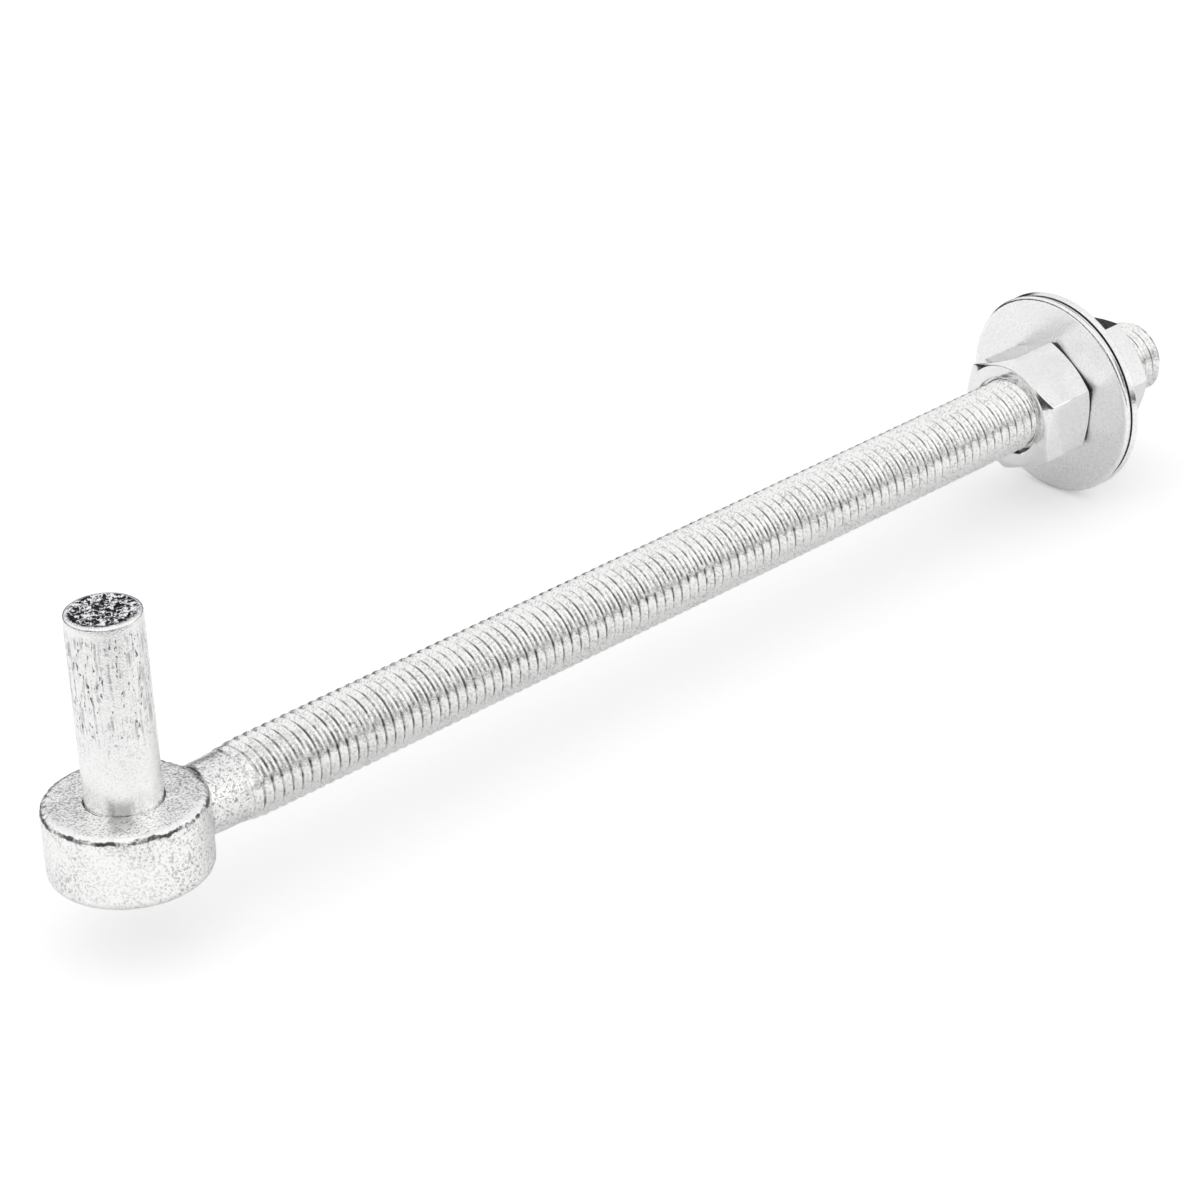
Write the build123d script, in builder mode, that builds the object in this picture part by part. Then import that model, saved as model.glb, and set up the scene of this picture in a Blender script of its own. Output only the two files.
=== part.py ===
from build123d import *
import os
from math import radians, tan

# Bolt hook for hanging a gate on a post, in millimetres.
# The origin is the centre of the hinge pin's base, on the boss's top face.
# +Z runs up the pin and +X runs along the rod to its free end.

# Threaded rod: a 5/8 inch coarse thread, rolled on a bar of the pitch diameter
thread_diameter = 15.875
thread_pitch = 2.309
blank_share_of_pitch = 0.6495
thread_start = 22.5
rod_reach = 281.2
rod_end_chamfer = 0.9

# Forged boss on the end of the rod
boss_diameter = 31.8
boss_height = 15.8
boss_rim_round = 1.5
boss_foot_round = 2.4
neck_fillet = 1.6

# Hinge pin, whose thickened lower end the boss grips
pin_diameter = 14.9
pin_height = 38.9
pin_end_chamfer = 0.7
pin_grip_diameter = 15.4
pin_grip_chamfer = 0.6

# Hexagon nuts, chamfered on both faces, and how far each has been turned
nut_across_flats = 23.8
nut_height = 13.9
nut_face_diameter = 22.6
nut_chamfer_angle = 30.0
nut_bore_chamfer = 0.9
thread_clearance = 0.1
inner_nut_turn = -21.8
outer_nut_turn = -7.4

# Stamped washers, each with its edge drawn down on the nut's side and left sharper on the other
washer_diameter = 44.5
washer_hole_diameter = 17.5
washer_thickness = 2.0
washer_drawn_width = 1.2
washer_drawn_depth = 0.6
washer_sharp_edge = 0.25

# Length of rod that stands out beyond the outer nut
free_end_stub = 10.3

# Sizes that follow from the ones above
thread_radius = thread_diameter / 2
neck_radius = (thread_diameter - blank_share_of_pitch * thread_pitch) / 2
full_thread_start = thread_start + thread_pitch
boss_radius = boss_diameter / 2
pin_radius = pin_diameter / 2
pin_grip_radius = pin_grip_diameter / 2
nut_face_radius = nut_face_diameter / 2
nut_bore_radius = thread_radius + thread_clearance
nut_cones_meet = nut_face_radius + nut_height / 2 / tan(radians(nut_chamfer_angle))
washer_radius = washer_diameter / 2
washer_hole_radius = washer_hole_diameter / 2
rod_height = -boss_height / 2
rod_axis = Axis((0, 0, rod_height), (1, 0, 0))

# Places along the rod, worked inwards from its free end
outer_nut_face = rod_reach - free_end_stub - nut_height
clamp_reach = outer_nut_face - washer_thickness
inner_washer_face = clamp_reach - washer_thickness
inner_nut_face = inner_washer_face - nut_height


def across_rod(reach):
    """A plane square to the rod at this reach, with its local x along +Y and its local y along +Z."""
    return Plane(origin=(reach, 0, rod_height), x_dir=(0, 1, 0), z_dir=(1, 0, 0))


def along_rod(reach, way=1):
    """A plane through the rod's axis, with its local x along the rod, out or back, and its local y up."""
    return Plane(origin=(reach, 0, rod_height), x_dir=(way, 0, 0), z_dir=(0, -way, 0))


def write_piece(piece, name):
    """Label a finished piece and write it to its own file."""
    piece.part.label = name
    export_step(piece.part, f"parts/{name}.step")


os.makedirs("parts", exist_ok=True)

# Boss, neck and threaded rod, forged from one bar; the rod meets the boss in a fillet all round
with BuildPart() as eye_bolt:
    with BuildSketch(Plane.XZ) as boss_section:
        with Locations((0, -boss_height)):
            Rectangle(boss_radius, boss_height, align=(Align.MAX, Align.MIN))
        rim_corner = boss_section.vertices().group_by(Axis.X)[0].sort_by(Axis.Y)[-1]
        fillet(rim_corner, boss_rim_round)
        foot_corner = boss_section.vertices().group_by(Axis.Y)[0].sort_by(Axis.X)[0]
        fillet(foot_corner, boss_foot_round)
    revolve(axis=Axis.Z)
    with BuildSketch(along_rod(0)):
        with BuildLine():
            Polyline(
                (0, 0),
                (0, neck_radius),
                (thread_start, neck_radius),
                (full_thread_start, thread_radius),
                (rod_reach - rod_end_chamfer, thread_radius),
                (rod_reach, thread_radius - rod_end_chamfer),
                (rod_reach, 0),
                close=True,
            )
        make_face()
    revolve(axis=rod_axis)
    neck_joint = eye_bolt.edges(Select.NEW)
    fillet(neck_joint, neck_fillet)
    Hole(pin_grip_radius)
write_piece(eye_bolt, "eye_bolt")

# Hinge pin: its thickened end fills the boss, and its shoulder is flush with the boss's top face
with BuildPart() as hinge_pin:
    with BuildSketch(Plane.XZ):
        with BuildLine():
            Polyline(
                (0, -boss_height),
                (pin_grip_radius - pin_grip_chamfer, -boss_height),
                (pin_grip_radius, pin_grip_chamfer - boss_height),
                (pin_grip_radius, 0),
                (pin_radius, 0),
                (pin_radius, pin_height - pin_end_chamfer),
                (pin_radius - pin_end_chamfer, pin_height),
                (0, pin_height),
                close=True,
            )
        make_face()
    revolve(axis=Axis.Z)
write_piece(hinge_pin, "hinge_pin")

# Nuts: a hexagon trimmed by a cone at each face, bored for the thread
for name, face, turn in (
    ("inner_nut", inner_nut_face, inner_nut_turn),
    ("outer_nut", outer_nut_face, outer_nut_turn),
):
    with BuildPart() as nut:
        with BuildSketch(across_rod(face)):
            RegularPolygon(nut_across_flats / 2, 6, major_radius=False, rotation=turn)
        extrude(amount=nut_height)
        with BuildSketch(along_rod(face)):
            with BuildLine():
                Polyline(
                    (0, 0),
                    (0, nut_face_radius),
                    (nut_height / 2, nut_cones_meet),
                    (nut_height, nut_face_radius),
                    (nut_height, 0),
                    close=True,
                )
            make_face()
        revolve(axis=rod_axis, mode=Mode.INTERSECT)
        with BuildSketch(across_rod(face)):
            Circle(nut_bore_radius)
        extrude(amount=nut_height, mode=Mode.SUBTRACT)
        bore_edges = nut.edges().filter_by(GeomType.CIRCLE).group_by(SortBy.RADIUS)[0]
        chamfer(bore_edges, nut_bore_chamfer)
    write_piece(nut, name)

# Washers: face to face, each section drawn from its nut's side towards the other washer
for name, face, way in (
    ("inner_washer", inner_washer_face, 1),
    ("outer_washer", outer_nut_face, -1),
):
    with BuildPart() as washer:
        with BuildSketch(along_rod(face, way)):
            with BuildLine():
                Polyline(
                    (0, washer_hole_radius),
                    (0, washer_radius - washer_drawn_width),
                    (washer_drawn_depth, washer_radius),
                    (washer_thickness - washer_sharp_edge, washer_radius),
                    (washer_thickness, washer_radius - washer_sharp_edge),
                    (washer_thickness, washer_hole_radius),
                    close=True,
                )
            make_face()
        revolve(axis=rod_axis)
    write_piece(washer, name)
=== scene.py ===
from math import atan2, cos, hypot, pi, radians, sin, tan

import bmesh
import bpy
from mathutils import Matrix, Vector, noise


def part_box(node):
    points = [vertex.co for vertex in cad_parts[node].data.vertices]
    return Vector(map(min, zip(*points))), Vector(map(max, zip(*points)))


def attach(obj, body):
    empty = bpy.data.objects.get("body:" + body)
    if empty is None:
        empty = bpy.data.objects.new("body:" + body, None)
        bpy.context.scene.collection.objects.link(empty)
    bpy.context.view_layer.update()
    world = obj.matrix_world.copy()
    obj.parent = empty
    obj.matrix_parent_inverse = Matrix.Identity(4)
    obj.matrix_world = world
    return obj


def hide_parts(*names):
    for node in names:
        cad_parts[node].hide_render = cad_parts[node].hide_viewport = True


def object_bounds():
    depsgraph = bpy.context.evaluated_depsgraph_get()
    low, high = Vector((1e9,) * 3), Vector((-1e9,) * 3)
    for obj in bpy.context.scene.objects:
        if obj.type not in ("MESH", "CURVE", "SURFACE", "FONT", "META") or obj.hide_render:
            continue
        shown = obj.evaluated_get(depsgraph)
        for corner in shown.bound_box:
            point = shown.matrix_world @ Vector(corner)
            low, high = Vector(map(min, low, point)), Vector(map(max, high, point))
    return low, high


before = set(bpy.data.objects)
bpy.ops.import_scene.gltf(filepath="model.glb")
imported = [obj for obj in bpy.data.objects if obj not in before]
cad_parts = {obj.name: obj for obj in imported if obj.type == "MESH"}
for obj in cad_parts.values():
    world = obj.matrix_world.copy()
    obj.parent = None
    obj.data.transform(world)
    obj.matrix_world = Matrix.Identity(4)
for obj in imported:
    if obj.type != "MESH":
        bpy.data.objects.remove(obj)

# Bolt hook for hanging a gate: a forged eye bolt with its hinge pin, two nuts and two washers.
# Shapes are worked out in millimetres in the model's own frame and scaled to metres at the end.
CAD_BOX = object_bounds()
MM = 0.001


def box_mm(node):
    """Lowest and highest corner of a node in millimetres."""
    low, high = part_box(node)
    return low / MM, high / MM


# Sizes read from the frame
EYE_LOW, EYE_HIGH = box_mm("eye_bolt")
PIN_LOW, PIN_HIGH = box_mm("hinge_pin")
BOSS_RADIUS = -EYE_LOW.x
BOSS_FOOT = PIN_LOW.z
ROD_HEIGHT = BOSS_FOOT / 2
ROD_END = EYE_HIGH.x
THREAD_RADIUS = EYE_HIGH.z - ROD_HEIGHT
GRIP_RADIUS = PIN_HIGH.x
PIN_TOP = PIN_HIGH.z
WASHERS_MEET = box_mm("inner_washer")[1].x
WASHER_RADIUS = box_mm("inner_washer")[1].y

# Axes, and the steps and gaps that all pieces share
PIN_AXIS = Vector((0, 0, 0))
ROD_AXIS = Vector((0, 0, ROD_HEIGHT))
ALONG_PIN = Vector((0, 0, 1))
ALONG_ROD = Vector((1, 0, 0))
ROUND_STEPS = 144
CORNER_STEPS = 6
MERGE_GAP = 0.004
CUT_GAP = 0.0005
PLANE_GAP = 0.01

# Forged boss and neck
BOSS_RIM_ROUND = 1.5
BOSS_FOOT_ROUND = 2.4
NECK_RADIUS = 7.19
NECK_FROM = 10.0
NECK_JOIN = 20.0
NECK_SPARE = 2.0
NECK_FILLET = 1.6
FILLET_REACHES = (1.7, 1.5, 1.3, 1.0)
FILLET_PASSES = 5
FILLET_PULL = 0.5
FORGED_GRID = 0.34

# Hammered surface: depths, fineness of the waves, and the edges between which each mark fades
FORGED_SINK = 0.10
FORGED_WAVES = 0.28
FORGED_ROUGHNESS = 1.0
FORGED_OCTAVES = 3
RIM_DENT = 0.32
RIM_DENT_WAVES = 0.95
RIM_DENT_RADIUS = (BOSS_RADIUS - 2.4, BOSS_RADIUS - 0.5)
RIM_DENT_HEIGHT = (-2.2, -0.6)
BORE_EDGE = (GRIP_RADIUS + 0.9, GRIP_RADIUS + 0.3)
NECK_FADE = (NECK_JOIN - 3, NECK_JOIN)

# Torn ends of rod and pin: fineness, and the share of the radius where the tear starts to fade
TEAR_WAVES = 0.8
TEAR_ROUGHNESS = 0.8
TEAR_OCTAVES = 4
TEAR_FADE = 0.8

# Rolled thread, 11 turns to the inch, with an uneven run-out towards the neck
PITCH = 2.309
THREAD_DEPTH = 0.46 * PITCH
ROOT_RADIUS = THREAD_RADIUS - THREAD_DEPTH
THREAD_STEPS = 64
THREAD_FROM = NECK_JOIN + 0.6
THREAD_WEAR = 0.035
THREAD_WEAR_WAVES = 0.9
RUN_OUT_FROM = 20.6
RUN_OUT_TO = 28.5
RUN_OUT_WAVER = 1.8
RUN_OUT_WAVES = 0.4
RUN_OUT_ALONG = 0.2
ROD_END_CHAMFER = 0.9
ROD_END_RINGS = 14
ROD_TEAR_RADIUS = 6.2
ROD_TEAR = 0.12
CRISP_ANGLE = radians(48)

# Share of the pitch from a crest's middle, and height there as a share of the thread's depth
THREAD_FORM = (
    (0.0, 1.0),
    (0.13, 0.80),
    (0.24, 0.46),
    (0.36, 0.15),
    (0.5, 0.0),
    (0.64, 0.15),
    (0.76, 0.46),
    (0.87, 0.80),
)

# Hinge pin
PIN_RADIUS = 7.45
PIN_CHAMFER = 0.7
PIN_SEAM = 0.22
PIN_SEAM_GAP = 0.02
PIN_RINGS = 40
PIN_TOP_RINGS = 26
PIN_TOP_DEPTH = 0.6
PIN_TOP_RADIUS = PIN_RADIUS - 0.4 * PIN_CHAMFER
PIN_TEAR = 0.5
GRIP_CHAMFER = 0.6
GRIP_FLAT_RADIUS = GRIP_RADIUS - 1.3 * GRIP_CHAMFER

# Hexagon nuts; the painted shade band is the inner share of the chamfer's width
NUT_FLATS = 23.8
NUT_FACE_RADIUS = 11.3
NUT_CHAMFER = radians(30)
NUT_COLUMNS = 96
NUT_MOUTH_RADIUS = 8.94
NUT_SHADE_WIDTH = 0.62
NUT_SHADE_WIDTH_GAP = 0.02
NUT_SHADE_LEAN = (0.7, 0.95)
NUT_CREST_GAP = 0.22
NUT_ROOT_GAP = 0.06
NUT_EDGE_ANGLE = radians(14)
NUT_EDGE_RADIUS = NUT_MOUTH_RADIUS + 1
NUT_EDGE_ROUND = 0.22
NUT_EDGE_STEPS = 3
NUT_TURNS = {"inner_nut": -21.8, "outer_nut": -7.4}

# Stamped washers
WASHER_HOLE_RADIUS = 8.75
WASHER_HOLE_BREAK = 0.25
WASHER_BREAK = 0.34
WASHER_DRAWN_WIDTH = 1.2
WASHER_DRAWN_DEPTH = 0.6
WASHER_DRAWN_STEPS = 8
WASHER_SHARP_EDGE = 0.30
WASHER_SHARP_STEPS = 3
WASHER_DISH = 0.15
WASHER_DISH_WIDTH = 3.0
# Width of the painted shade band at the rim where the washers meet, and the least lean of its faces
WASHER_SHADE_WIDTH = 1.05
WASHER_SHADE_LEAN = 0.6
FLAT_WEIGHT = 100


# Mesh helpers
def ring_angle(point):
    """Angle of a point round the rod's axis."""
    return atan2(point.z - ROD_HEIGHT, point.y)


def rod_radius(point):
    """Distance of a point from the rod's axis."""
    return hypot(point.y, point.z - ROD_HEIGHT)


def set_rod_radius(vert, radius):
    """Move a vertex straight out from the rod's axis, or in, to this radius."""
    share = radius / rod_radius(vert.co)
    vert.co.y *= share
    vert.co.z = ROD_HEIGHT + (vert.co.z - ROD_HEIGHT) * share


def ease(low, high, value):
    """Smooth rise from 0 at low to 1 at high."""
    share = min(max((value - low) / (high - low), 0.0), 1.0)
    return share * share * (3 - 2 * share)


def broken_noise(place, roughness, octaves):
    """Noise from 0 to 1, with each octave twice as fine as the last."""
    value = 0.5 + 0.5 * noise.fractal(place, roughness, 2.0, octaves)
    return min(max(value, 0.0), 1.0)


def chain(bm, points, closed=False):
    """A line of edges through these points."""
    verts = [bm.verts.new(point) for point in points]
    ends = verts[1:] + verts[:1] if closed else verts[1:]
    edges = [bm.edges.new(pair) for pair in zip(verts, ends)]
    return verts + edges


def quarter(centre, radius, start):
    """Points of a round corner in a section, over a quarter turn from this angle."""
    angles = [start + pi / 2 * step / CORNER_STEPS for step in range(CORNER_STEPS + 1)]
    return [(centre[0] + radius * cos(angle), centre[1] + radius * sin(angle)) for angle in angles]


def turn_section(bm, points, axis_point, axis, closed=True):
    """Spin a section all the way round an axis."""
    bmesh.ops.spin(
        bm, geom=chain(bm, points, closed), cent=axis_point, axis=axis,
        dvec=(0, 0, 0), angle=2 * pi, steps=ROUND_STEPS, use_merge=True,
    )


def merge(bm):
    """Merge vertices that coincide."""
    bmesh.ops.remove_doubles(bm, verts=bm.verts[:], dist=MERGE_GAP)


def tidy(bm):
    """Merge what coincides and turn all faces outwards."""
    merge(bm)
    bmesh.ops.recalc_face_normals(bm, faces=bm.faces[:])


def draw_out(bm, edges):
    """Extrude open edges where they are, and give the new vertices and the new open edges."""
    grown = bmesh.ops.extrude_edge_only(bm, edges=edges)["geom"]
    verts = [item for item in grown if isinstance(item, bmesh.types.BMVert)]
    fresh = set(verts)
    rim = [
        item for item in grown
        if isinstance(item, bmesh.types.BMEdge) and fresh.issuperset(item.verts)
    ]
    return verts, rim


def close_end(bm, rim, centre, rings):
    """Fill a round end with rings of faces that close on its centre."""
    for ring in range(rings - 1, 0, -1):
        verts, rim = draw_out(bm, rim)
        share = ring / (ring + 1)
        bmesh.ops.scale(bm, verts=verts, vec=(share,) * 3, space=Matrix.Translation(-centre))
    verts, rim = draw_out(bm, rim)
    bmesh.ops.pointmerge(bm, verts=verts, merge_co=centre)


def tear_end(bm, centre, axis, radius, depth):
    """Tear the middle of a sheared end a little below its rim."""
    for vert in bm.verts:
        away = vert.co - centre
        if abs(away.dot(axis)) > PLANE_GAP:
            continue
        share = 1 - ease(radius * TEAR_FADE, radius, away.length)
        torn = broken_noise(vert.co * TEAR_WAVES, TEAR_ROUGHNESS, TEAR_OCTAVES)
        vert.co -= axis * depth * share * torn


def open_rim(bm, reach):
    """Open edges that lie at this reach along the rod."""
    return [
        edge for edge in bm.edges
        if edge.is_boundary and all(abs(vert.co.x - reach) < PLANE_GAP for vert in edge.verts)
    ]


def cut_off(bm, reach, beyond):
    """Cut the mesh square to the rod, and drop what lies beyond the cut on the +X or the -X side."""
    bmesh.ops.bisect_plane(
        bm, geom=bm.verts[:] + bm.edges[:] + bm.faces[:], dist=CUT_GAP,
        plane_co=(reach, 0, 0), plane_no=ALONG_ROD,
        clear_outer=beyond > 0, clear_inner=beyond < 0,
    )


def thread_tube(bm, start, end, root_radius, depth, steps):
    """A right-hand thread round the rod as one helical sheet, with spare turns at start and end."""
    first = int((start - PITCH) // PITCH) - 1
    last = int(end // PITCH) + 2
    points = [
        ((turn + share) * PITCH, 0, ROD_HEIGHT + root_radius + depth * height)
        for turn in range(first, last)
        for share, height in THREAD_FORM
    ]
    bmesh.ops.spin(
        bm, geom=chain(bm, points), cent=ROD_AXIS, axis=ALONG_ROD,
        dvec=(PITCH / steps, 0, 0), angle=2 * pi, steps=steps, use_merge=False,
    )
    merge(bm)


def crisp_edges(bm, angle):
    """Keep edges that turn more than this angle sharp to the light."""
    for edge in bm.edges:
        if edge.is_manifold and edge.calc_face_angle() > angle:
            edge.smooth = False


def mesh_from(name, bm):
    """A mesh of this name from a finished bmesh."""
    mesh = bpy.data.meshes.new(name)
    bm.to_mesh(mesh)
    bm.free()
    return mesh


def show(name, data):
    """Put a mesh, a lamp or a camera into the scene as an object."""
    made = bpy.data.objects.new(name, data)
    bpy.context.scene.collection.objects.link(made)
    return made


def to_piece(name, bm, materials, body, node):
    """Scale a finished mesh to metres and hang it on its body in place of its node."""
    bmesh.ops.scale(bm, verts=bm.verts[:], vec=(MM,) * 3)
    for face in bm.faces:
        face.smooth = True
    mesh = mesh_from(name, bm)
    for material in materials:
        mesh.materials.append(material)
    piece = show(name, mesh)
    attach(piece, body)
    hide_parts(node)
    return piece


def even_normals(piece):
    """Let the large flats keep their shading up to the rounded edges."""
    weighted = piece.modifiers.new("even_normals", "WEIGHTED_NORMAL")
    weighted.weight = FLAT_WEIGHT


# Node helpers
def bare_tree(owner):
    """The emptied node tree of a material or a world."""
    owner.use_nodes = True
    owner.node_tree.nodes.clear()
    return owner.node_tree


def add_node(tree, kind, inputs=None, **settings):
    """Add a shader node, set its properties, and link or fill its inputs."""
    made = tree.nodes.new(kind)
    for name, value in settings.items():
        setattr(made, name, value)
    for name, value in (inputs or {}).items():
        if isinstance(value, bpy.types.NodeSocket):
            tree.links.new(value, made.inputs[name])
        else:
            made.inputs[name].default_value = value
    return made


def maths(tree, operation, first, second=0.0, clamp=False):
    """A sum on one or two values."""
    return add_node(
        tree, "ShaderNodeMath", {0: first, 1: second}, operation=operation, use_clamp=clamp
    ).outputs[0]


def plus(tree, first, second):
    """Two values added."""
    return maths(tree, "ADD", first, second)


def minus(tree, first, second):
    """The second value taken from the first."""
    return maths(tree, "SUBTRACT", first, second)


def times(tree, first, *others):
    """All these values multiplied."""
    product = first
    for value in others:
        product = maths(tree, "MULTIPLY", product, value)
    return product


def length(tree, vector):
    """Length of a vector."""
    return add_node(tree, "ShaderNodeVectorMath", {0: vector}, operation="LENGTH").outputs["Value"]


def along(tree, vector, way):
    """How far a vector goes this way."""
    made = add_node(tree, "ShaderNodeVectorMath", {0: vector, 1: way}, operation="DOT_PRODUCT")
    return made.outputs["Value"]


def parts(tree, vector):
    """X, Y and Z of a vector."""
    return add_node(tree, "ShaderNodeSeparateXYZ", {0: vector}).outputs


def stretch(tree, vector, scale):
    """A vector with each axis scaled."""
    return add_node(tree, "ShaderNodeMapping", {"Vector": vector, "Scale": scale}).outputs[0]


def spread(tree, value, low, high, to_low=0.0, to_high=1.0):
    """Stretch a range of values to another, with smooth ends."""
    return add_node(
        tree, "ShaderNodeMapRange",
        {"Value": value, 1: low, 2: high, 3: to_low, 4: to_high},
        interpolation_type="SMOOTHSTEP",
    ).outputs[0]


def between(tree, mask, at_none, at_full):
    """One value where a mask is 0, another where it is 1."""
    return spread(tree, mask, 0.0, 1.0, at_none, at_full)


def blend(tree, share, first, second):
    """Mix two colours."""
    made = add_node(tree, "ShaderNodeMix", {0: share, 6: first, 7: second}, data_type="RGBA")
    return made.outputs[2]


def noise_at(tree, vector, scale, detail=2.0, rough=0.5):
    """A cloud of soft values from 0 to 1."""
    return add_node(
        tree, "ShaderNodeTexNoise",
        {"Vector": vector, "Scale": scale, "Detail": detail, "Roughness": rough},
    ).outputs[0]


def grey(value, blue=0.0):
    """A grey, with a little blue or, below zero, a little warmth."""
    return (value, value, min(value * (1 + blue), 1.0), 1.0)


# Effects that several finishes use
BLOTCH_RANGE = (0.3, 0.7)
GRAIN_RANGE = (0.28, 0.72)
PIT_CHANCE = 0.5
PIT_NONE = 1.05
PIT_FULL = 1.15
PIT_LEAST = 0.35
PIT_FLOOR = 0.4


def effect_group(name, inputs, outputs):
    """An empty node group with these inputs, each with its starting value, and these outputs."""
    tree = bpy.data.node_groups.new(name, "ShaderNodeTree")
    tree.interface.new_socket("Vector", in_out="INPUT", socket_type="NodeSocketVector")
    for label, value in inputs.items():
        socket = tree.interface.new_socket(label, in_out="INPUT", socket_type="NodeSocketFloat")
        socket.default_value = value
    for label in outputs:
        tree.interface.new_socket(label, in_out="OUTPUT", socket_type="NodeSocketFloat")
    return tree, tree.nodes.new("NodeGroupInput").outputs, tree.nodes.new("NodeGroupOutput").inputs


def plating_grain_group():
    """Soft blotches and fine crystals of the zinc coat."""
    tree, given, made = effect_group(
        "plating_grain", {"Blotch Scale": 0.3, "Grain Scale": 3.0}, ("Blotch", "Grain")
    )
    blotch = noise_at(tree, given["Vector"], given["Blotch Scale"], detail=4.0, rough=0.6)
    grain = noise_at(tree, given["Vector"], given["Grain Scale"], detail=3.0, rough=0.7)
    tree.links.new(spread(tree, blotch, *BLOTCH_RANGE), made["Blotch"])
    tree.links.new(spread(tree, grain, *GRAIN_RANGE), made["Grain"])
    return tree


def plating_pits_group():
    """Small dark pits of mixed sizes, thick in some places and rare in others."""
    tree, given, made = effect_group(
        "plating_pits", {"Pit Scale": 1.2, "Pit Size": 0.3, "Patch Scale": 0.15, "Cover": 0.5},
        ("Pits",),
    )
    cell = add_node(
        tree, "ShaderNodeTexVoronoi", {"Vector": given["Vector"], "Scale": given["Pit Scale"]}
    )
    chance = add_node(tree, "ShaderNodeSeparateColor", {0: cell.outputs["Color"]}).outputs
    patch = noise_at(tree, given["Vector"], given["Patch Scale"])
    present = spread(
        tree, plus(tree, patch, times(tree, chance[0], PIT_CHANCE)),
        minus(tree, PIT_NONE, given["Cover"]), minus(tree, PIT_FULL, given["Cover"]),
    )
    reach = times(tree, given["Pit Size"], plus(tree, PIT_LEAST, chance[1]))
    inside = spread(tree, cell.outputs["Distance"], reach, times(tree, reach, PIT_FLOOR))
    tree.links.new(times(tree, inside, present), made["Pits"])
    return tree


def rod_depth_group():
    """Depth in the thread from 0 to 1, and distance from the rod's axis."""
    tree, given, made = effect_group("rod_depth", {}, ("Depth", "Radius"))
    place = parts(tree, given["Vector"])
    up = minus(tree, place[2], ROD_HEIGHT)
    squares = plus(tree, maths(tree, "POWER", up, 2.0), maths(tree, "POWER", place[1], 2.0))
    radius = maths(tree, "SQRT", squares)
    depth = add_node(
        tree, "ShaderNodeMapRange", {"Value": radius, 1: THREAD_RADIUS, 2: ROOT_RADIUS}
    ).outputs[0]
    tree.links.new(depth, made["Depth"])
    tree.links.new(radius, made["Radius"])
    return tree


def use_group(tree, group, vector, **values):
    """Place an effect in a material with its own values."""
    inputs = {name.replace("_", " "): value for name, value in values.items()}
    return add_node(tree, "ShaderNodeGroup", {"Vector": vector, **inputs}, node_tree=group).outputs


def zinc_material(name):
    """A new metal and the millimetre coordinates that its pattern reads."""
    material = bpy.data.materials.new(name)
    tree = bare_tree(material)
    shader = tree.nodes.new("ShaderNodeBsdfPrincipled")
    shader.inputs["Metallic"].default_value = 1.0
    target = tree.nodes.new("ShaderNodeOutputMaterial")
    tree.links.new(shader.outputs[0], target.inputs["Surface"])
    place = tree.nodes.new("ShaderNodeTexCoord").outputs["Object"]
    return material, tree, shader, stretch(tree, place, (1 / MM,) * 3)


def finish_zinc(tree, shader, colour, roughness, height, depth_mm):
    """Feed colour, roughness and relief to a metal; a depth below zero sinks what the height marks."""
    tree.links.new(colour, shader.inputs["Base Color"])
    tree.links.new(roughness, shader.inputs["Roughness"])
    relief = add_node(
        tree, "ShaderNodeBump", {"Height": height, "Strength": 1.0, "Distance": depth_mm * MM}
    )
    tree.links.new(relief.outputs[0], shader.inputs["Normal"])


# Forged zinc: where each mark lies, in millimetres or in radians round the boss's rim
FLAT = (1.0, 1.0, 0.0)
BOSS_EDGE = (BOSS_RADIUS + 0.6, BOSS_RADIUS + 0.2)
BOSS_TOP = (-0.9, -0.3)
RIM_FROM = (-2.2, -1.6)
RIM_STRAY = 1.3
RIM_STRAY_SCALE = 0.55
# Painted dark reflection and painted highlight along the boss's rim: leanings between which each fades in
# and out
RIM_REFLECTION_FROM = (0.02, 0.20)
RIM_REFLECTION_TO = (0.80, 0.60)
RIM_REFLECTION_SCALE = 0.22
RIM_REFLECTION_BREAKS = (0.36, 0.58)
RIM_HIGHLIGHT_FROM = (0.6, 0.8)
RIM_HIGHLIGHT_TO = (1.75, 1.35)
NECK_SIDE = (-13.0, 4.0)
COAT_DULLS = (8.0, 20.0)
ROOT_FLOOR = (ROOT_RADIUS - 0.35, ROOT_RADIUS - 0.1)

# Forged zinc: how strong each mark is
SPECK_RANGE = (0.46, 0.92)
SPECKS_LEAST = 0.17
SPECKS_BY_BLOTCH = 0.32
SPECKS_TO_NECK = 0.27
SPECKS_ON_TOP = 0.29
SPECKS_ON_HIGHLIGHT = 0.2
SPECKS_ON_THREAD = 0.52
# Strength of the painted dark reflection along the rim
RIM_REFLECTION_SHARE = 0.92
# Painted shade in the thread's roots: the depth where it starts, and how uneven and how strong it is
ROOT_DEPTH = (0.84, 0.98)
ROOT_SHADE_SCALE = 0.45
ROOT_SHADE_RANGE = (0.36, 0.60)
ROOT_SHADE_SHARE = (0.22, 1.0)
BOSS_COAT = grey(0.98, -0.01)
THREAD_COAT = grey(0.93, -0.01)
SPECK_DARK = grey(0.03)
# Colour of the painted shade in the thread's roots
ROOT_SHADE_DARK = grey(0.14)
FORGED_DULL = (0.14, 0.22)
THREAD_SHINE = 0.04
BUMPS_BY_BLOTCH = (0.45, 0.9)
BUMPS_ON_THREAD = 0.4
BUMPS_ON_TOP = 0.55
FORGED_RELIEF = -0.07


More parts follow.
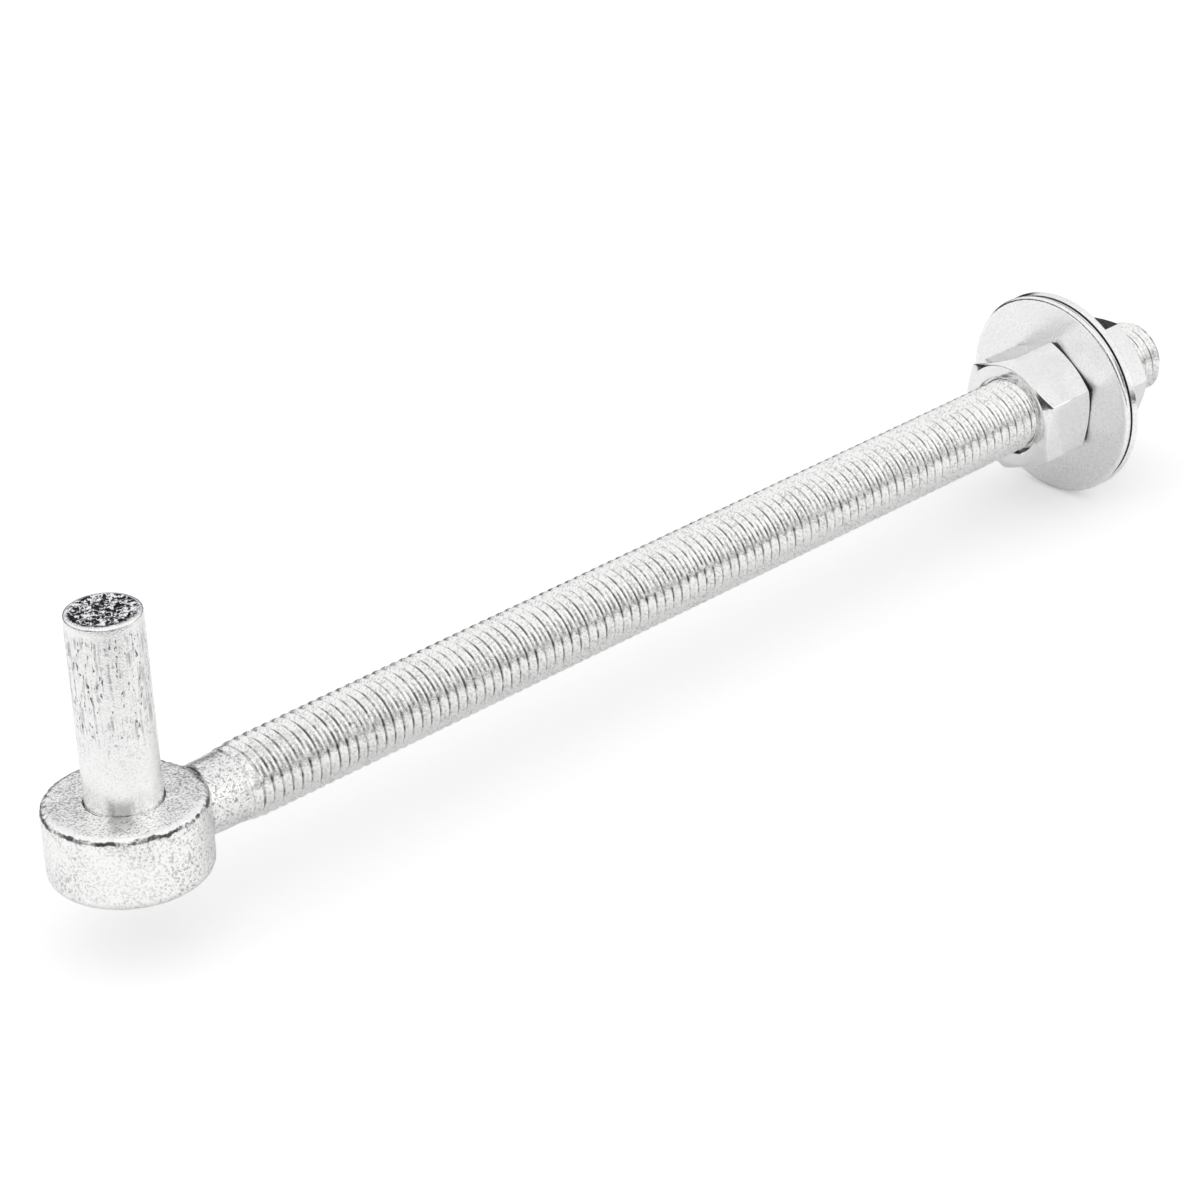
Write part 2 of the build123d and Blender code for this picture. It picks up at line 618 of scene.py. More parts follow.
def rim_painted_light(tree, at, place, away, on_boss):
    """Painted dark reflection low on the boss's rim, ragged and broken, and a painted highlight above it,
    where fewer specks show.
    """
    leaning = maths(
        tree, "ARCTAN2", plus(tree, place[2], BOSS_RIM_ROUND),
        minus(tree, away, BOSS_RADIUS - BOSS_RIM_ROUND),
    )
    ragged = minus(tree, noise_at(tree, at, RIM_STRAY_SCALE, detail=4.0, rough=0.65), 0.5)
    leaning = plus(tree, leaning, times(tree, ragged, RIM_STRAY))
    on_rim = times(tree, on_boss, spread(tree, place[2], *RIM_FROM))
    broken = spread(tree, noise_at(tree, at, RIM_REFLECTION_SCALE, detail=4.0, rough=0.7), *RIM_REFLECTION_BREAKS)
    rim_dark_reflection = times(
        tree, spread(tree, leaning, *RIM_REFLECTION_FROM), spread(tree, leaning, *RIM_REFLECTION_TO), broken, on_rim
    )
    rim_highlight = times(
        tree, spread(tree, leaning, *RIM_HIGHLIGHT_FROM), spread(tree, leaning, *RIM_HIGHLIGHT_TO), on_rim
    )
    return rim_dark_reflection, rim_highlight


def speck_share(tree, zinc, place, top, rim_highlight, threaded):
    """Dark specks: more towards the neck and on the boss's top, fewer under the painted rim highlight or on
    the thread.
    """
    to_neck = times(tree, spread(tree, place[0], *NECK_SIDE), minus(tree, 1.0, top))
    thick = plus(tree, times(tree, zinc["Blotch"], SPECKS_BY_BLOTCH), SPECKS_LEAST)
    thick = plus(tree, thick, times(tree, to_neck, SPECKS_TO_NECK))
    thick = maths(tree, "ADD", thick, times(tree, top, SPECKS_ON_TOP), clamp=True)
    return times(
        tree, spread(tree, zinc["Grain"], *SPECK_RANGE), thick,
        between(tree, rim_highlight, 1.0, SPECKS_ON_HIGHLIGHT), between(tree, threaded, 1.0, SPECKS_ON_THREAD),
    )


def root_shade_share(tree, at, thread, threaded):
    """Painted shade in the thread's roots, uneven along them, with none on the rod's end face."""
    uneven = noise_at(tree, at, ROOT_SHADE_SCALE, detail=4.0, rough=0.65)
    return times(
        tree, spread(tree, thread["Depth"], *ROOT_DEPTH), threaded,
        spread(tree, thread["Radius"], *ROOT_FLOOR),
        spread(tree, uneven, *ROOT_SHADE_RANGE, *ROOT_SHADE_SHARE),
    )


def forged_zinc():
    """Zinc over the forging: specked and bumpy, with a painted dark reflection and a painted highlight
    along the rim, painted shade in the thread's roots, and satin on the thread.
    """
    material, tree, shader, at = zinc_material("forged_zinc")
    zinc = use_group(tree, GRAIN, at, Blotch_Scale=0.12, Grain_Scale=1.75)
    thread = use_group(tree, DEPTH, at)
    place = parts(tree, at)
    away = length(tree, stretch(tree, at, FLAT))
    threaded = spread(tree, place[0], NECK_JOIN, RUN_OUT_TO)
    on_boss = spread(tree, away, *BOSS_EDGE)
    top = times(tree, on_boss, spread(tree, place[2], *BOSS_TOP))
    rim_dark_reflection, rim_highlight = rim_painted_light(tree, at, place, away, on_boss)
    colour = blend(tree, spread(tree, place[0], *COAT_DULLS), BOSS_COAT, THREAD_COAT)
    colour = blend(tree, speck_share(tree, zinc, place, top, rim_highlight, threaded), colour, SPECK_DARK)
    # Painted dark reflection along the boss's rim
    colour = blend(tree, times(tree, rim_dark_reflection, RIM_REFLECTION_SHARE), colour, SPECK_DARK)
    # Painted shade darkens the thread's roots
    colour = blend(tree, root_shade_share(tree, at, thread, threaded), colour, ROOT_SHADE_DARK)
    rough = between(tree, zinc["Blotch"], *FORGED_DULL)
    rough = minus(tree, rough, times(tree, threaded, THREAD_SHINE))
    bumps = times(
        tree, zinc["Grain"], between(tree, zinc["Blotch"], *BUMPS_BY_BLOTCH),
        between(tree, threaded, 1.0, BUMPS_ON_THREAD), between(tree, top, 1.0, BUMPS_ON_TOP),
    )
    finish_zinc(tree, shader, colour, rough, bumps, FORGED_RELIEF)
    return material


# Drawn zinc: lines and dashes along the pin
DASH_STRETCH = (1.0, 1.0, 0.45)
DASH_SCALE = 1.7
DASH_RANGE = (0.632, 0.69)
DASH_SHARE = 0.92
DASH_DARK = grey(0.07)
LINE_STRETCH = (1.0, 1.0, 0.07)
LINE_SCALE = 1.9
LINE_RANGE = (0.46, 0.62)
LINE_BREAK_SCALE = 0.5
LINE_BREAKS = (0.36, 0.62)
LINE_SHARE = 0.64
LINE_DARK = grey(0.28)
DRAWN_FROM = (9.0, 20.0)
DRAWN_TO = (37.5, 35.5)
DRAWN_COAT = grey(0.95, -0.01)
DRAWN_GRAIN = (0.55, 1.0)
DRAWN_GRAIN_GREY = grey(0.78)
DRAWN_DULL = (0.16, 0.26)
DRAWN_SMOOTH_FOOT = (3.0, 9.0, 0.2, 0.6)
DRAWN_RELIEF = -0.04

# Painted dark reflection at one side of the pin's foot, the side that faces the camera
FOOT_REFLECTION_ACROSS = (0.750, -0.661, 0.0)
FOOT_REFLECTION_WAY = (-0.661, -0.750, 0.0)
FOOT_REFLECTION_WIDTH = (3.4, 1.0)
FOOT_REFLECTION_HEIGHT = (4.2, 1.6)
FOOT_REFLECTION_SIDE = (0.0, 4.0)
FOOT_REFLECTION_STRAY = 3.0
FOOT_REFLECTION_STRAY_SCALE = 0.6
FOOT_REFLECTION_SHARE = 0.55
FOOT_REFLECTION_DARK = grey(0.16)


def foot_reflection_share(tree, at, up):
    """The painted dark reflection at the pin's foot, with a soft and uneven edge."""
    uneven = minus(tree, noise_at(tree, at, FOOT_REFLECTION_STRAY_SCALE, detail=3.0, rough=0.6), 0.5)
    off_middle = maths(tree, "ABSOLUTE", along(tree, at, FOOT_REFLECTION_ACROSS))
    reach = plus(tree, off_middle, times(tree, uneven, FOOT_REFLECTION_STRAY))
    return times(
        tree, spread(tree, reach, *FOOT_REFLECTION_WIDTH), spread(tree, up, *FOOT_REFLECTION_HEIGHT),
        spread(tree, along(tree, at, FOOT_REFLECTION_WAY), *FOOT_REFLECTION_SIDE), FOOT_REFLECTION_SHARE,
    )


def drawn_zinc():
    """Drawn bar: fine lines and dark dashes along the pin, fading out towards its foot, and a painted dark
    reflection at one side of the foot.
    """
    material, tree, shader, at = zinc_material("drawn_zinc")
    zinc = use_group(tree, GRAIN, at, Blotch_Scale=0.2, Grain_Scale=2.2)
    up = parts(tree, at)[2]
    drawn = times(tree, spread(tree, up, *DRAWN_FROM), spread(tree, up, *DRAWN_TO))
    dashes = noise_at(tree, stretch(tree, at, DASH_STRETCH), DASH_SCALE, detail=2.0, rough=0.55)
    dashes = times(tree, spread(tree, dashes, *DASH_RANGE), drawn)
    lines = noise_at(tree, stretch(tree, at, LINE_STRETCH), LINE_SCALE, detail=3.0, rough=0.65)
    broken = spread(tree, noise_at(tree, at, LINE_BREAK_SCALE, detail=3.0), *LINE_BREAKS)
    lines = times(tree, spread(tree, lines, *LINE_RANGE), drawn, broken)
    colour = blend(tree, spread(tree, zinc["Grain"], *DRAWN_GRAIN), DRAWN_COAT, DRAWN_GRAIN_GREY)
    colour = blend(tree, times(tree, lines, LINE_SHARE), colour, LINE_DARK)
    colour = blend(tree, times(tree, dashes, DASH_SHARE), colour, DASH_DARK)
    # Painted dark reflection at the pin's foot
    colour = blend(tree, foot_reflection_share(tree, at, up), colour, FOOT_REFLECTION_DARK)
    rough = between(tree, zinc["Blotch"], *DRAWN_DULL)
    grain = times(tree, zinc["Grain"], spread(tree, up, *DRAWN_SMOOTH_FOOT))
    height = plus(tree, grain, plus(tree, lines, dashes))
    finish_zinc(tree, shader, colour, rough, height, DRAWN_RELIEF)
    return material


# Sheared zinc: the torn top of the pin
CLOUD_SCALE = 0.68
CLOUD_RANGE = (0.525, 0.58)
FOLD_SCALE = 0.53
FOLD_RANGE = (0.05, 0.02)
SHEAR_RIM = (PIN_RADIUS - 0.7, PIN_RADIUS - 0.1)
SHEAR_RIM_SHARE = 0.7
SHEAR_DARK = grey(0.008, 0.15)
SHEAR_BRIGHT = grey(0.97, 0.02)
SHEAR_DULL = (0.3, 0.7, 0.14, 0.26)
SHEAR_RELIEF = 0.10


def sheared_zinc():
    """Sheared bar end: a dark break with bright torn ridges, greyer near the rim."""
    material, tree, shader, at = zinc_material("sheared_zinc")
    cloud = noise_at(tree, at, CLOUD_SCALE, detail=3.0, rough=0.65)
    fold = minus(tree, noise_at(tree, at, FOLD_SCALE, detail=2.0, rough=0.6), 0.5)
    fold = spread(tree, maths(tree, "ABSOLUTE", fold), *FOLD_RANGE)
    torn = maths(tree, "MAXIMUM", fold, spread(tree, cloud, *CLOUD_RANGE))
    away = length(tree, stretch(tree, at, FLAT))
    rim = spread(tree, plus(tree, away, cloud), *SHEAR_RIM)
    torn = maths(tree, "MAXIMUM", torn, times(tree, rim, SHEAR_RIM_SHARE))
    colour = blend(tree, torn, SHEAR_DARK, SHEAR_BRIGHT)
    finish_zinc(tree, shader, colour, spread(tree, cloud, *SHEAR_DULL), torn, SHEAR_RELIEF)
    return material


# Nut, painted gap shade and washer zinc: tones, the range of grain that shows, roughness, and relief
NUT_TONES = (grey(0.84), grey(0.92))
NUT_GRAIN = (0.6, 1.0)
NUT_GRAIN_GREY = grey(0.80)
NUT_DULL = (0.09, 0.15)
GAP_SHADE_TONES = (grey(0.03), grey(0.12))
GAP_SHADE_DULL = (0.4, 0.55)
WASHER_TONES = (grey(0.84), grey(0.99))
WASHER_PIT_SHARE = 0.5
WASHER_PIT_GREY = grey(0.4)
WASHER_DULL = (0.27, 0.33)
WASHER_RIM = (WASHER_RADIUS - WASHER_DRAWN_WIDTH, WASHER_RADIUS - 0.7)
WASHER_RIM_SHINE = 0.18
SMOOTH_RELIEF = 0.01


def nut_zinc():
    """Bright, smooth zinc of the machined nuts."""
    material, tree, shader, at = zinc_material("nut_zinc")
    zinc = use_group(tree, GRAIN, at, Blotch_Scale=0.14, Grain_Scale=1.8)
    colour = blend(tree, zinc["Blotch"], *NUT_TONES)
    colour = blend(tree, spread(tree, zinc["Grain"], *NUT_GRAIN), colour, NUT_GRAIN_GREY)
    rough = between(tree, zinc["Grain"], *NUT_DULL)
    finish_zinc(tree, shader, colour, rough, zinc["Blotch"], SMOOTH_RELIEF)
    return material


def gap_shade_zinc():
    """Painted shade of narrow gaps, dark and dull: beside the washers, between them, and round the pin's
    foot.
    """
    material, tree, shader, at = zinc_material("gap_shade_zinc")
    zinc = use_group(tree, GRAIN, at, Blotch_Scale=0.3, Grain_Scale=1.5)
    colour = blend(tree, zinc["Grain"], *GAP_SHADE_TONES)
    rough = between(tree, zinc["Blotch"], *GAP_SHADE_DULL)
    finish_zinc(tree, shader, colour, rough, zinc["Grain"], SMOOTH_RELIEF)
    return material


def washer_zinc():
    """Satin zinc of the stamped washers, shinier along the drawn edge."""
    material, tree, shader, at = zinc_material("washer_zinc")
    zinc = use_group(tree, GRAIN, at, Blotch_Scale=0.2, Grain_Scale=1.7)
    pits = use_group(tree, PITS, at, Pit_Scale=1.0, Pit_Size=0.16, Patch_Scale=0.12, Cover=0.25)["Pits"]
    colour = blend(tree, zinc["Grain"], *WASHER_TONES)
    colour = blend(tree, times(tree, pits, WASHER_PIT_SHARE), colour, WASHER_PIT_GREY)
    rim = spread(tree, use_group(tree, DEPTH, at)["Radius"], *WASHER_RIM)
    rough = between(tree, zinc["Blotch"], *WASHER_DULL)
    rough = minus(tree, rough, times(tree, rim, WASHER_RIM_SHINE))
    finish_zinc(tree, shader, colour, rough, zinc["Grain"], SMOOTH_RELIEF)
    return material


# Eye bolt
def boss_section():
    """Half section of the boss: the bore's wall, the foot's round and the rim's round."""
    foot_centre = (BOSS_RADIUS - BOSS_FOOT_ROUND, BOSS_FOOT + BOSS_FOOT_ROUND)
    foot = quarter(foot_centre, BOSS_FOOT_ROUND, -pi / 2)
    rim = quarter((BOSS_RADIUS - BOSS_RIM_ROUND, -BOSS_RIM_ROUND), BOSS_RIM_ROUND, 0)
    outline = [(GRIP_RADIUS, BOSS_FOOT)] + foot + rim + [(GRIP_RADIUS, 0)]
    return [(radius, 0, height) for radius, height in outline]


def forged_boss():
    """Boss and neck grown together on one fine grid."""
    bm = bmesh.new()
    turn_section(bm, boss_section(), PIN_AXIS, ALONG_PIN)
    neck = [
        (NECK_FROM, 0, ROD_HEIGHT),
        (NECK_FROM, 0, ROD_HEIGHT + NECK_RADIUS),
        (NECK_JOIN + NECK_SPARE, 0, ROD_HEIGHT + NECK_RADIUS),
        (NECK_JOIN + NECK_SPARE, 0, ROD_HEIGHT),
    ]
    turn_section(bm, neck, ROD_AXIS, ALONG_ROD, closed=False)
    tidy(bm)
    blank_mesh = mesh_from("boss_blank", bm)
    blank = show("boss_blank", blank_mesh)
    grown = blank.modifiers.new("grow", "REMESH")
    grown.mode = "VOXEL"
    grown.voxel_size = FORGED_GRID
    bpy.context.view_layer.update()
    grid = bpy.data.meshes.new_from_object(
        blank.evaluated_get(bpy.context.evaluated_depsgraph_get())
    )
    bpy.data.objects.remove(blank)
    bpy.data.meshes.remove(blank_mesh)
    bm = bmesh.new()
    bm.from_mesh(grid)
    bpy.data.meshes.remove(grid)
    return bm


def near_corner(vert, reach):
    """Whether a vertex lies this near the corner where the neck leaves the boss."""
    place = vert.co
    if place.x < NECK_FROM:
        return False
    off_boss = abs(hypot(place.x, place.y) - BOSS_RADIUS)
    off_neck = abs(rod_radius(place) - NECK_RADIUS)
    return off_boss < reach and off_neck < reach


def work_neck_corner(bm):
    """Smooth the corner between boss and neck into a fillet."""
    for reach in FILLET_REACHES:
        corner = [vert for vert in bm.verts if near_corner(vert, reach * NECK_FILLET)]
        for step in range(FILLET_PASSES):
            bmesh.ops.smooth_vert(
                bm, verts=corner, factor=FILLET_PULL,
                use_axis_x=True, use_axis_y=True, use_axis_z=True,
            )


def hammer_surface(bm):
    """Sink the forging a little here and there, most along its top rim."""
    bm.normal_update()
    for vert in bm.verts:
        place = vert.co
        radius = hypot(place.x, place.y)
        wave = broken_noise(place * FORGED_WAVES, FORGED_ROUGHNESS, FORGED_OCTAVES)
        rim = ease(*RIM_DENT_RADIUS, radius) * ease(*RIM_DENT_HEIGHT, place.z)
        dent = max(noise.noise(place * RIM_DENT_WAVES), 0.0) * rim
        off_bore = 1 - ease(*BORE_EDGE, radius)
        sink = off_bore * (FORGED_SINK * wave + RIM_DENT * dent)
        neck_end = 1 - ease(*NECK_FADE, place.x)
        vert.co = place - vert.normal * sink * neck_end


def rolled_thread(bm):
    """Thread the rod from the neck to its free end, with an uneven run-out and a chamfered end."""
    thread_tube(bm, NECK_JOIN, ROD_END, ROOT_RADIUS, THREAD_DEPTH, THREAD_STEPS)
    cut_off(bm, THREAD_FROM, -1)
    cut_off(bm, ROD_END, 1)
    for vert in bm.verts:
        place = vert.co
        squeezed = Vector((place.x * RUN_OUT_ALONG, place.y, place.z))
        waver = RUN_OUT_WAVER * noise.noise(squeezed * RUN_OUT_WAVES)
        share = ease(RUN_OUT_FROM, RUN_OUT_TO, place.x + waver)
        worn = THREAD_WEAR * noise.noise(place * THREAD_WEAR_WAVES)
        radius = NECK_RADIUS + (rod_radius(place) + worn - NECK_RADIUS) * share
        chamfer = THREAD_RADIUS - ROD_END_CHAMFER + ROD_END - place.x
        set_rod_radius(vert, min(radius, chamfer, THREAD_RADIUS))


def eye_bolt_piece():
    """The whole eye bolt: boss and neck, then the threaded rod, joined at the neck."""
    bm = forged_boss()
    work_neck_corner(bm)
    hammer_surface(bm)
    cut_off(bm, NECK_JOIN, 1)
    rod = bmesh.new()
    rolled_thread(rod)
    rod_mesh = mesh_from("rod_blank", rod)
    bm.from_mesh(rod_mesh)
    bpy.data.meshes.remove(rod_mesh)
    bmesh.ops.bridge_loops(bm, edges=open_rim(bm, NECK_JOIN) + open_rim(bm, THREAD_FROM))
    end_centre = ROD_AXIS + Vector((ROD_END, 0, 0))
    close_end(bm, open_rim(bm, ROD_END), end_centre, ROD_END_RINGS)
    tear_end(bm, end_centre, ALONG_ROD, ROD_TEAR_RADIUS, ROD_TEAR)
    bmesh.ops.recalc_face_normals(bm, faces=bm.faces[:])
    crisp_edges(bm, CRISP_ANGLE)
    return to_piece("forged_eye_bolt", bm, [FORGED], "hook", "eye_bolt")


# Hinge pin
def pin_section():
    """Half section of the pin, from the middle of its lower end to the edge of its top."""
    side = [
        (0, BOSS_FOOT),
        (GRIP_FLAT_RADIUS, BOSS_FOOT),
        (GRIP_RADIUS - GRIP_CHAMFER, BOSS_FOOT),
        (GRIP_RADIUS, BOSS_FOOT + GRIP_CHAMFER),
        (GRIP_RADIUS, -PIN_SEAM),
        (PIN_RADIUS, -PIN_SEAM),
    ]
    edge = PIN_TOP - PIN_CHAMFER
    side += [(PIN_RADIUS, edge * step / PIN_RINGS) for step in range(PIN_RINGS + 1)]
    side += quarter((PIN_RADIUS - PIN_CHAMFER, edge), PIN_CHAMFER, 0)[1:]
    return [(radius, 0, height) for radius, height in side]


def hinge_pin_piece():
    """The pin: gripped end, seam with painted shade, drawn side and sheared top."""
    bm = bmesh.new()
    turn_section(bm, pin_section(), PIN_AXIS, ALONG_PIN, closed=False)
    merge(bm)
    top = Vector((0, 0, PIN_TOP))
    rim = [edge for edge in bm.edges if edge.is_boundary]
    close_end(bm, rim, top, PIN_TOP_RINGS)
    tear_end(bm, top, ALONG_PIN, PIN_RADIUS - PIN_CHAMFER, PIN_TEAR)
    tidy(bm)
    finishes = [DRAWN, SHEARED, GAP_SHADE]
    for face in bm.faces:
        place = face.calc_center_median()
        radius = hypot(place.x, place.y)
        finish = DRAWN
        if place.z > PIN_TOP - PIN_TOP_DEPTH and radius < PIN_TOP_RADIUS:
            finish = SHEARED
        # The seam's ring face takes the painted gap shade
        elif abs(place.z + PIN_SEAM) < PIN_SEAM_GAP and radius > PIN_RADIUS:
            finish = GAP_SHADE
        face.material_index = finishes.index(finish)
    return to_piece("drawn_hinge_pin", bm, finishes, "hook", "hinge_pin")


# Nuts
def chamfer_width(angle, turn):
    """How far a nut's hexagon reaches past its round face at this angle round the rod."""
    sixth = pi / 3
    off_flat = (angle - turn) % sixth - sixth / 2
    return NUT_FLATS / 2 / cos(off_flat) - NUT_FACE_RADIUS


def nut_bore(bm, low, high):
    """The threaded bore of a nut, opened out by a chamfer at both faces."""
    depth = THREAD_DEPTH - NUT_CREST_GAP + NUT_ROOT_GAP
    thread_tube(bm, low.x, high.x, ROOT_RADIUS + NUT_CREST_GAP, depth, NUT_COLUMNS)
    cut_off(bm, low.x, -1)
    cut_off(bm, high.x, 1)
    for vert in bm.verts:
        inwards = min(vert.co.x - low.x, high.x - vert.co.x)
        set_rod_radius(vert, max(rod_radius(vert.co), NUT_MOUTH_RADIUS - inwards))


def nut_ring(bm, edges, turn, share, reach, way):
    """Draw out the next ring of a nut: a share of the chamfer's width from the face at this reach."""
    verts, rim = draw_out(bm, edges)
    for vert in verts:
        width = share * chamfer_width(ring_angle(vert.co), turn)
        vert.co.x = reach + way * width * tan(NUT_CHAMFER)
        set_rod_radius(vert, NUT_FACE_RADIUS + width)
    return rim


def round_nut_edges(bm):
    """Round the outer edges of a nut a little."""
    edges = [
        edge for edge in bm.edges
        if edge.is_manifold and edge.calc_face_angle() > NUT_EDGE_ANGLE
        and min(rod_radius(vert.co) for vert in edge.verts) > NUT_EDGE_RADIUS
    ]
    bmesh.ops.bevel(
        bm, geom=edges, offset=NUT_EDGE_ROUND, offset_type="OFFSET", segments=NUT_EDGE_STEPS,
        profile=0.5, affect="EDGES", material=-1, clamp_overlap=True,
    )


def nut_piece(node, body):
    """A hexagon nut: a threaded bore, and rings from face to face round its outside."""
    low, high = box_mm(node)
    turn = radians(NUT_TURNS[node])
    bm = bmesh.new()
    nut_bore(bm, low, high)
    rings = (
        (0.0, low.x, 1),
        (NUT_SHADE_WIDTH, low.x, 1),
        (1.0, low.x, 1),
        (1.0, low.x + (high.x - low.x) / 2, 0),
        (1.0, high.x, -1),
        (NUT_SHADE_WIDTH, high.x, -1),
        (0.0, high.x, -1),
    )
    rim = open_rim(bm, low.x)
    for share, reach, way in rings:
        rim = nut_ring(bm, rim, turn, share, reach, way)
    bmesh.ops.bridge_loops(bm, edges=rim + [e for e in open_rim(bm, high.x) if e not in rim])
    tidy(bm)
    round_nut_edges(bm)
    tidy(bm)
    facing = 1 if low.x < WASHERS_MEET else -1
    # Faces of the chamfer next to the washer take the painted gap shade
    least, most = NUT_SHADE_LEAN
    for face in bm.faces:
        place = face.calc_center_median()
        width = NUT_SHADE_WIDTH * chamfer_width(ring_angle(place), turn) + NUT_SHADE_WIDTH_GAP
        in_painted_shade = NUT_FACE_RADIUS < rod_radius(place) < NUT_FACE_RADIUS + width
        face.material_index = 1 if in_painted_shade and least < face.normal.x * facing < most else 0
    piece = to_piece("hexagon_" + node, bm, [NUT, GAP_SHADE], body, node)
    even_normals(piece)
    return piece


# Washers
def washer_section(face, back, radius, way):
    """Section of a washer, from its hole on the nut's side, round its rim, to its hole on the other."""
    points = [(face, WASHER_HOLE_RADIUS + WASHER_HOLE_BREAK)]
    for step in range(WASHER_DRAWN_STEPS + 1):
        angle = pi / 2 * step / WASHER_DRAWN_STEPS
        points.append((
            face + way * WASHER_DRAWN_DEPTH * (1 - cos(angle)),
            radius - WASHER_DRAWN_WIDTH * (1 - sin(angle)),
        ))
    for step in range(WASHER_SHARP_STEPS + 1):
        angle = pi / 2 * step / WASHER_SHARP_STEPS
        points.append((
            back - way * (WASHER_DISH + WASHER_SHARP_EDGE * (1 - sin(angle))),
            radius - WASHER_BREAK - WASHER_SHARP_EDGE * (1 - cos(angle)),
        ))
    sharp = WASHER_BREAK + WASHER_SHARP_EDGE
    share = (WASHER_DISH_WIDTH - WASHER_SHADE_WIDTH) / (WASHER_DISH_WIDTH - sharp)
    points += [
        (back - way * WASHER_DISH * share, radius - WASHER_SHADE_WIDTH),
        (back, radius - WASHER_DISH_WIDTH),
        (back, WASHER_HOLE_RADIUS),
        (face + way * WASHER_HOLE_BREAK, WASHER_HOLE_RADIUS),
    ]
    return [(reach, 0, ROD_HEIGHT + away) for reach, away in points]


def washer_piece(node, body, way):
    """A stamped washer: its drawn edge on the nut's side, its sharper edge on the other."""
    low, high = box_mm(node)
    face, back = (low.x, high.x) if way > 0 else (high.x, low.x)
    bm = bmesh.new()
    turn_section(bm, washer_section(face, back, high.y, way), ROD_AXIS, ALONG_ROD)
    tidy(bm)
    # Faces at the rim, on the side towards the other washer, take the painted gap shade
    for side in bm.faces:
        at_rim = rod_radius(side.calc_center_median()) > high.y - WASHER_SHADE_WIDTH
        side.material_index = 1 if at_rim and side.normal.x * way > WASHER_SHADE_LEAN else 0
    piece = to_piece("stamped_" + node, bm, [WASHER, GAP_SHADE], body, node)
    even_normals(piece)
    return piece


# Studio floor, in metres: a white table, whose oval is all that mirrors see of it
FLOOR_HALF = 4.0
FLOOR_PLACE = (0.13, 0, CAD_BOX[0].z - 0.0004)
FLOOR_WHITE = grey(0.88)
FLOOR_DARK = grey(0.04)
FLOOR_GLOW = 0.26
FLOOR_SHEEN = 0.16
TABLE_CENTRE = (0.13, 0.12, 0)
TABLE_OVAL = (1.6, 1.0, 1.0)
TABLE_EDGE = (0.24, 0.46)
# Painted shadow under the rod, seen only by mirrors: the floor's lift for mirrors fades out over this band
ROD_SHADE_WIDTH = (0.042, 0.010)
ROD_SHADE_FROM = (-0.035, -0.01)

# Studio world: white overhead, greyer behind the part, and a dark room below the horizon
SKY = grey(0.98)
SKY_BEHIND = grey(0.88, 0.02)
SKY_BEHIND_WAY = (0.588, 0.667, 0.458)
SKY_BEHIND_SPREAD = (0.45, 0.95)
BEHIND_WAY = (0.62, 0.785, 0.0)
LOW_BEHIND = grey(0.55)
LOW_BEHIND_SPREAD = (0.60, 0.85)
LOW_BEHIND_HEIGHT = (0.42, 0.22)
HORIZON = (0.02, 0.12)
HORIZON_RISE = 0.06
HORIZON_BEHIND = 0.18
HORIZON_BEHIND_SPREAD = (0.80, 0.95)
ROOM = grey(0.02)
FRONT_WAY = (0.1, -0.995, 0.0)
FRONT_SPREAD = (0.15, 0.60)
FRONT_LIT = grey(0.72)

# A dark opening in the studio's left wall
OPENING = grey(0.06)
OPENING_WAY = (-1.0, 0.0, 0.0)
OPENING_SPREAD = (0.82, 0.90)
OPENING_HEIGHT = (0.55, 0.25)
OPENING_DEPTH = (-0.02, -0.16)

# Soft lights and camera, in metres
LIGHT_AIM = (0.13, 0, 0)
LENS = 140.5
SENSOR = 36.0
NEAREST = 0.05
CAMERA_PLACE = (-0.43109, -0.62422, 0.42287)
CAMERA_FORWARD = (0.5882, 0.6666, -0.4579)
CAMERA_ROLL = radians(-3.42)


def floor_material():
    """White, lifted a little for the camera and for mirrors, dark to mirrors beyond the table, and with a
    painted shadow under the rod that only mirrors see.
    """
    material = bpy.data.materials.new("white_floor")
    tree = bare_tree(material)
    path = tree.nodes.new("ShaderNodeLightPath").outputs
    place = tree.nodes.new("ShaderNodeTexCoord").outputs["Object"]
    oval = add_node(
        tree, "ShaderNodeMapping",
        {"Vector": place, "Location": TABLE_CENTRE, "Scale": TABLE_OVAL}, vector_type="TEXTURE",
    ).outputs[0]
    far = times(tree, spread(tree, length(tree, oval), *TABLE_EDGE), path["Is Glossy Ray"])
    spot = parts(tree, place)
    off_rod = maths(tree, "ABSOLUTE", spot[1])
    shaded = times(tree, spread(tree, off_rod, *ROD_SHADE_WIDTH), spread(tree, spot[0], *ROD_SHADE_FROM))
    sheen = minus(tree, 1.0, maths(tree, "MAXIMUM", far, shaded))
    sheen = times(tree, sheen, FLOOR_SHEEN, path["Is Glossy Ray"])
    lift = plus(tree, sheen, times(tree, path["Is Camera Ray"], FLOOR_GLOW))
    lit = add_node(tree, "ShaderNodeBsdfDiffuse", {"Color": blend(tree, far, FLOOR_WHITE, FLOOR_DARK)})
    glow = add_node(tree, "ShaderNodeEmission", {"Color": grey(1.0), "Strength": lift})
    both = add_node(tree, "ShaderNodeAddShader", {0: lit.outputs[0], 1: glow.outputs[0]})
    target = tree.nodes.new("ShaderNodeOutputMaterial")
    tree.links.new(both.outputs[0], target.inputs["Surface"])
    return material


def studio_floor():
    """A plain white floor under the washers."""
    bm = bmesh.new()
    bmesh.ops.create_grid(bm, x_segments=1, y_segments=1, size=FLOOR_HALF)
    bmesh.ops.translate(bm, verts=bm.verts[:], vec=FLOOR_PLACE)
    mesh = mesh_from("studio_floor", bm)
    mesh.materials.append(floor_material())
    floor = show("studio_floor", mesh)


